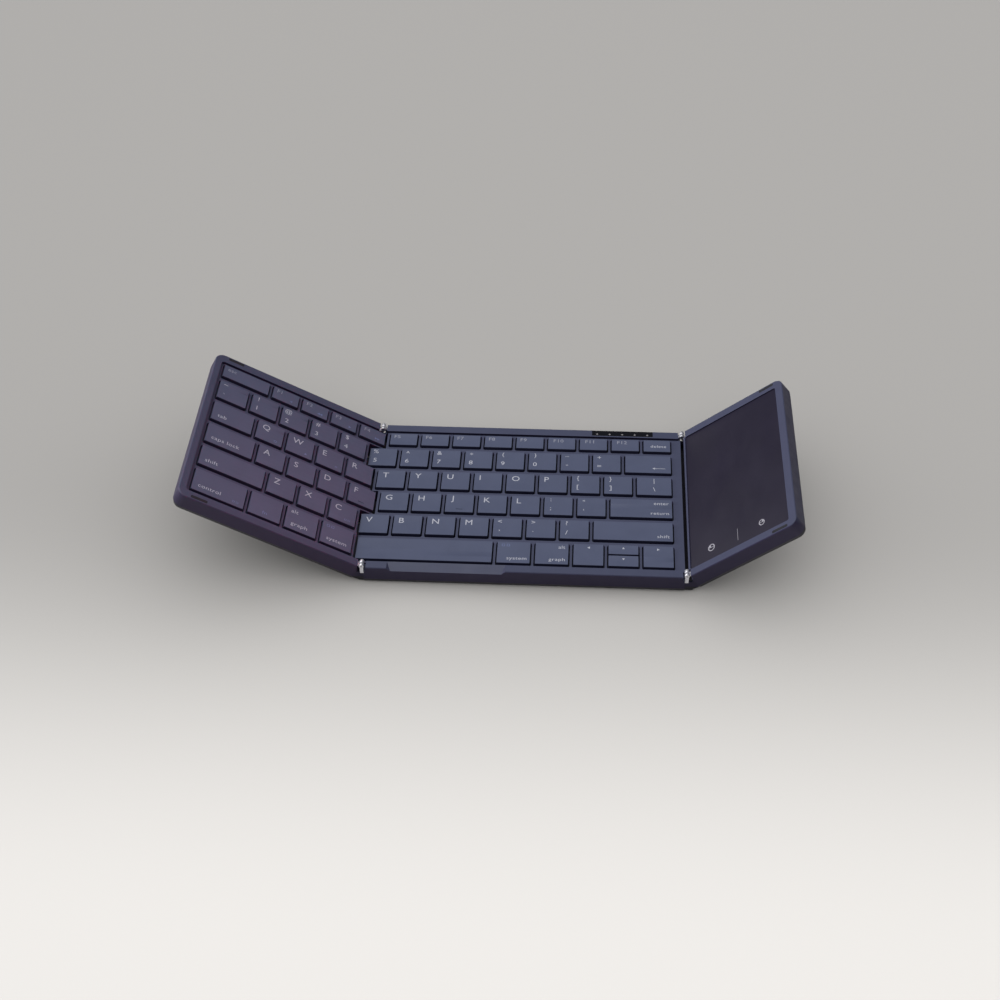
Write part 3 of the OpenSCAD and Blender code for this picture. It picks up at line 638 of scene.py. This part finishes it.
# steps in each curve of a character, and how far the characters of a word stand apart
CURVE_STEPS = 3
CHARACTER_SPACING = 1.06


def slab(shape):
    """Gives a flat shape a thickness, so that it is closed."""
    made = bmesh.ops.extrude_face_region(shape, geom=shape.faces[:])
    sunk = [v for v in made["geom"] if isinstance(v, bmesh.types.BMVert)]
    bmesh.ops.translate(shape, verts=sunk, vec=(0, 0, -2 * SLAB))
    bmesh.ops.translate(shape, verts=shape.verts, vec=(0, 0, SLAB))
    bmesh.ops.recalc_face_normals(shape, faces=shape.faces)
    return shape


def joined(*shapes):
    """One shape out of several."""
    whole = bmesh.new()
    for shape in shapes:
        mesh = bpy.data.meshes.new("mark")
        shape.to_mesh(mesh)
        shape.free()
        whole.from_mesh(mesh)
        bpy.data.meshes.remove(mesh)
    return whole


def moved(shape, x=0, y=0):
    bmesh.ops.translate(shape, verts=shape.verts, vec=(x, y, 0))
    return shape


def turned(shape, degrees):
    turn = Matrix.Rotation(math.radians(degrees), 3, "Z")
    bmesh.ops.rotate(shape, verts=shape.verts, matrix=turn)
    return shape


def scaled(shape, x, y):
    bmesh.ops.scale(shape, verts=shape.verts, vec=(x, y, 1))
    return shape


def word(words):
    """Words of one unit of capital height, from the base line up."""
    font = bpy.data.curves.new("words", "FONT")
    font.body = words
    font.extrude = SLAB
    font.resolution_u = CURVE_STEPS
    font.space_character = CHARACTER_SPACING
    holder = add_object("words", font)
    bpy.context.view_layer.update()
    depsgraph = bpy.context.evaluated_depsgraph_get()
    mesh = bpy.data.meshes.new_from_object(holder.evaluated_get(depsgraph))
    bpy.data.objects.remove(holder)
    bpy.data.curves.remove(font)
    shape = bmesh.new()
    shape.from_mesh(mesh)
    bpy.data.meshes.remove(mesh)
    return shape


def capital_height():
    shape = word("H")
    height = max(v.co.y for v in shape.verts)
    shape.free()
    return height


def bar(width, height):
    shape = bmesh.new()
    bmesh.ops.create_grid(shape, x_segments=1, y_segments=1, size=0.5)
    return slab(scaled(shape, width, height))


def arrow_head(turn):
    """A solid triangle that points at an angle, in degrees from the right."""
    shape = bmesh.new()
    bmesh.ops.create_circle(shape, cap_ends=True, segments=3, radius=0.58)
    return slab(turned(shape, turn - 90))


def two_heads(turn):
    """Two triangles, one behind the other, that point to the right or to the left."""
    return joined(moved(arrow_head(turn), x=-0.42), moved(arrow_head(turn), x=0.42))


def long_arrow():
    """The backspace arrow: a head that points left, and its tail."""
    return joined(arrow_head(180), moved(bar(width=3.6, height=0.18), x=2.1))


def ring(sides=20, width=0.14, stretch=(1, 1)):
    """An open figure, round or with a few straight sides."""
    shape = bmesh.new()
    bmesh.ops.create_circle(shape, cap_ends=True, segments=sides, radius=0.5)
    scaled(turned(shape, 180 / sides), *stretch)
    middle = shape.faces[:]
    bmesh.ops.inset_region(
        shape, faces=middle, thickness=width, use_boundary=True, use_even_offset=True)
    bmesh.ops.delete(shape, geom=middle, context="FACES")
    return slab(shape)


def spark():
    """A light mark: a star of four short points, its waist drawn in."""
    shape = bmesh.new()
    bmesh.ops.create_circle(shape, cap_ends=True, segments=8, radius=0.5)
    for vertex in shape.verts:
        if abs(vertex.co.x) > 0.1 and abs(vertex.co.y) > 0.1:
            vertex.co *= 0.55
    return slab(shape)


def button_mark(side):
    """A pointing device seen from above, with one of its two buttons filled; side is -1 or 1."""
    return joined(
        ring(sides=24, width=0.12, stretch=(0.85, 1)),
        moved(bar(width=0.6, height=0.08), y=0.04),
        moved(bar(width=0.22, height=0.24), x=0.16 * side, y=0.2),
    )


def window_pair():
    """Two small open squares side by side."""
    squares = (moved(ring(sides=4, width=0.1), x=x) for x in (-0.55, 0.55))
    return joined(*squares)


def sun_mark():
    """A small ring with eight rays."""
    rays = (turned(moved(bar(width=0.16, height=0.09), x=0.5), 45 * k) for k in range(8))
    return joined(ring(sides=12, width=0.2, stretch=(0.55, 0.55)), *rays)


# ---- legends ----

# where a mark sits on a cap and how high it is, all in mm. Across: "left" and "right" count to the
# mark's own edge from that edge of the cap, "at" to its middle from the left edge, "middle" from
# the cap's middle. Along: to its middle from the cap's back or front edge, or on the cap's middle.
PLACES = {
    "letter": ("left", 3.2, "back", 4.3, 3.9),
    "shifted": ("at", 3.8, "back", 2.7, 3.0),
    "digit": ("at", 3.8, "back", 10.2, 3.3),
    "function": ("left", 2.5, "back", 2.8, 2.5),
    "wide function": ("left", 3.4, "back", 2.8, 2.5),
    "beside middle": ("middle", 0.9, "middle", 0, 2.2),
    "centre shifted": ("middle", 0, "back", 3.4, 3.0),
    "centre digit": ("middle", 0, "back", 10.2, 3.3),
    "low left": ("left", 3.6, "front", 5.4, 2.6),
    "low right": ("right", 2.0, "front", 4.4, 2.4),
    "top left": ("left", 2.6, "back", 2.8, 2.5),
    "top right": ("right", 2.0, "back", 3.2, 2.3),
    "arrow": ("middle", 0, "back", 2.9, 1.7),
    "half": ("middle", 0, "back", 2.6, 1.5),
    "tail": ("right", 3.4, "front", 4.6, 1.7),
    "corner": ("right", 3.4, "front", 3.6, 1.9),
    "low middle": ("middle", 0, "front", 4.6, 2.4),
}


def pairs(lower, upper):
    return [[(a, "digit"), (b, "shifted")] for a, b in zip(lower, upper)]


def letters(text):
    return [[(c, "letter")] for c in text]


# for each key node, the marks of each of its caps, left to right: what is drawn and its place
LEGENDS = {
    "middle_function_keys": [[]] * 8 + [[("delete", "beside middle")]],
    "left_number_keys": pairs("`1234", "~!@#$"),
    "middle_number_keys": pairs("567890-=", "%^&*()_+"),
    "backspace_key": [[(long_arrow, "tail")]],
    "tab_key": [[("tab", "low left")]],
    "left_upper_letter_keys": letters("QWER"),
    "middle_upper_letter_keys": letters("TYUIOP") + pairs("[]", "{}"),
    "backslash_key": [[("\\", "centre digit"), ("|", "centre shifted")]],
    "caps_lock_key": [[("caps lock", "low left")]],
    "left_home_letter_keys": letters("ASDF"),
    "middle_home_letter_keys": letters("GHJKL") + pairs(";'", ":\""),
    "enter_key": [[("enter", "top right"), ("return", "low right")]],
    "left_shift_key": [[("shift", "low left")]],
    "left_lower_letter_keys": letters("ZXC"),
    "middle_lower_letter_keys": letters("VBNM") + pairs(",./", "<>?"),
    "right_shift_key": [[("shift", "low right")]],
    "left_control_key": [[("control", "low left")]],
    "left_modifier_keys": [
        [("alt", "top left"), ("graph", "low left")],
        [("system", "low left")],
    ],
    "right_modifier_keys": [
        [("system", "low right")],
        [("alt", "top right"), ("graph", "low right")],
    ],
    "arrow_keys": [
        [(lambda: arrow_head(180), "arrow")],
        [(lambda: arrow_head(-90), "half")],
        [(lambda: arrow_head(90), "half")],
        [(lambda: arrow_head(0), "arrow")],
    ],
}

# the labels of the back row, in a dimmer ink
DIM_LEGENDS = {
    "escape_key": [[("esc", "top left")]],
    "left_function_keys": [[(f"F{n}", "function")] for n in range(1, 5)],
    "middle_function_keys": [
        *([(f"F{n}", "function")] for n in range(5, 10)),
        *([(f"F{n}", "wide function")] for n in range(10, 13)),
        [],
    ],
}

# the second function of a key, in a fainter blue
FAINT_LEGENDS = {
    "left_function_keys": [
        [(sun_mark, "corner")],
        [(lambda: two_heads(180), "corner")],
        [(lambda: arrow_head(0), "corner")],
        [(lambda: two_heads(0), "corner")],
    ],
    "left_upper_letter_keys": [
        [(ring, "corner")],
        [(lambda: arrow_head(90), "corner")],
        [(lambda: ring(sides=4, width=0.12), "corner")],
        [],
    ],
    "left_lower_letter_keys": [[], [], [(window_pair, "corner")]],
    "left_control_key": [[(window_pair, "corner")]],
    "fn_key": [[("fn", "low middle")]],
    "left_modifier_keys": [[], [(window_pair, "top left")]],
    "right_modifier_keys": [[(window_pair, "top left")], []],
}

# the two click corners of the touchpad and the line between them: what is drawn, its height, its
# middle across from the hinge axis and along from the front edge, all in mm
TOUCHPAD_MARKS = (
    (lambda: button_mark(-1), 5.2, 16.2, 8.9),
    (lambda: bar(width=0.022, height=1), 9.0, 33.4, 8.7),
    (lambda: button_mark(1), 4.4, 49.0, 8.6),
)

# light marks in the window: their height and how far they sit before its middle, in mm, and the
# place of the first and the step to the next as shares of its length
INDICATOR_COUNT = 5
INDICATOR_SIZE = 1.6
INDICATOR_FORWARD = 1
INDICATOR_FIRST = 0.085
INDICATOR_STEP = 0.206

# how far ink stands over the surface and reaches into it, in metres
INK_UP = 0.015 * MM
INK_DOWN = 0.02 * MM
# a height over every panel that lies flat, in metres
OVER_PANELS = 0.1
# how much wider than the font's own a word and a single character are
WORD_WIDTH = 1.12
LETTER_WIDTH = 1.06


class Print:
    """Marks laid on top of one node, each a thin closed slab of ink that follows its surface."""

    def __init__(self, node):
        self.node = node
        self.flat = flat_mesh(node)
        self.surface = BVHTree.FromBMesh(self.flat)
        self.shape = bmesh.new()

    def lay(self, mark, left, middle):
        """Lays down a mark from its left edge on and about its middle line, in mm in plan."""
        xs = [v.co.x for v in mark.verts]
        for vertex in mark.verts:
            x = (left - min(xs) + vertex.co.x) * MM
            y = (middle + vertex.co.y) * MM
            hit = self.surface.ray_cast(Vector((x, y, OVER_PANELS)), Vector((0, 0, -1)))[0]
            if hit is None:
                raise ValueError(f"a mark on {self.node} runs over its edge")
            vertex.co = (x, y, hit.z + (INK_UP if vertex.co.z > 0 else -INK_DOWN))
        self.shape = joined(self.shape, mark)

    def finish(self, name, ink):
        self.shape.transform(PANELS[panel_of(self.node)])
        new_piece(name, self.shape, ink, body_of_node[self.node])
        self.flat.free()


def sized_mark(mark, height_mm, unit=1):
    """A word or a drawn mark at its height in mm, its own middle on the line y = 0."""
    if callable(mark):
        return scaled(mark(), height_mm, height_mm)
    single = len(mark) == 1
    scale = height_mm / unit
    shape = scaled(word(mark), scale * (LETTER_WIDTH if single else WORD_WIDTH), scale)
    ys = [v.co.y for v in shape.verts]
    return moved(shape, y=-(min(ys) + max(ys)) / 2 if single else -height_mm / 2)


def width_of(mark):
    xs = [v.co.x for v in mark.verts]
    return max(xs) - min(xs)


def print_legends(legends, ending, ink):
    unit = capital_height()
    for node, rows in legends.items():
        marks = Print(node)
        caps = caps_of(marks.flat)
        if len(caps) != len(rows):
            raise ValueError(f"{node} has {len(caps)} caps and {len(rows)} legends")
        for cap, row in zip(caps, rows):
            for mark, spot in row:
                side, across, end, along, height = PLACES[spot]
                shape = sized_mark(mark, height, unit)
                width = width_of(shape)
                left = {
                    "left": cap.x0 + across,
                    "at": cap.x0 + across - width / 2,
                    "right": cap.x1 - across - width,
                    "middle": (cap.x0 + cap.x1 - width) / 2 + across,
                }[side]
                middle = {
                    "back": cap.y1 - along,
                    "front": cap.y0 + along,
                    "middle": (cap.y0 + cap.y1) / 2,
                }[end]
                marks.lay(shape, left, middle)
        marks.finish(node + ending, ink)


def print_touchpad_marks(ink):
    marks = Print("touchpad_surface")
    front = Plan(marks.flat.verts).y0
    for mark, height, across, along in TOUCHPAD_MARKS:
        shape = sized_mark(mark, height)
        marks.lay(shape, across - width_of(shape) / 2, front + along)
    marks.finish("touchpad_marks", ink)


def print_indicator_marks(ink):
    marks = Print("indicator_window")
    window = Plan(marks.flat.verts)
    length = window.x1 - window.x0
    middle = (window.y0 + window.y1) / 2 - INDICATOR_FORWARD
    for k in range(INDICATOR_COUNT):
        x = window.x0 + (INDICATOR_FIRST + INDICATOR_STEP * k) * length
        marks.lay(sized_mark(spark, INDICATOR_SIZE), x - INDICATOR_SIZE / 2, middle)
    marks.finish("indicator_marks", ink)


make_camera()
make_studio()
dress_solids(make_materials())
for folding_node, name_ending in FOLDING_NODES.items():
    cut_by_keys(folding_node, name_ending)
for legends, name_ending, ink_name, ink_colour in (
    (LEGENDS, "_legends", "legend ink", (0.5, 0.51, 0.58)),
    (DIM_LEGENDS, "_dim_legends", "dim legend ink", (0.31, 0.32, 0.39)),
    (FAINT_LEGENDS, "_second_legends", "faint legend ink", (0.15, 0.19, 0.36)),
):
    print_legends(legends, name_ending, printed_ink(ink_name, ink_colour))
print_touchpad_marks(printed_ink("touchpad mark ink", (0.36, 0.35, 0.4)))
print_indicator_marks(printed_ink("light mark ink", (0.26, 0.25, 0.26)))
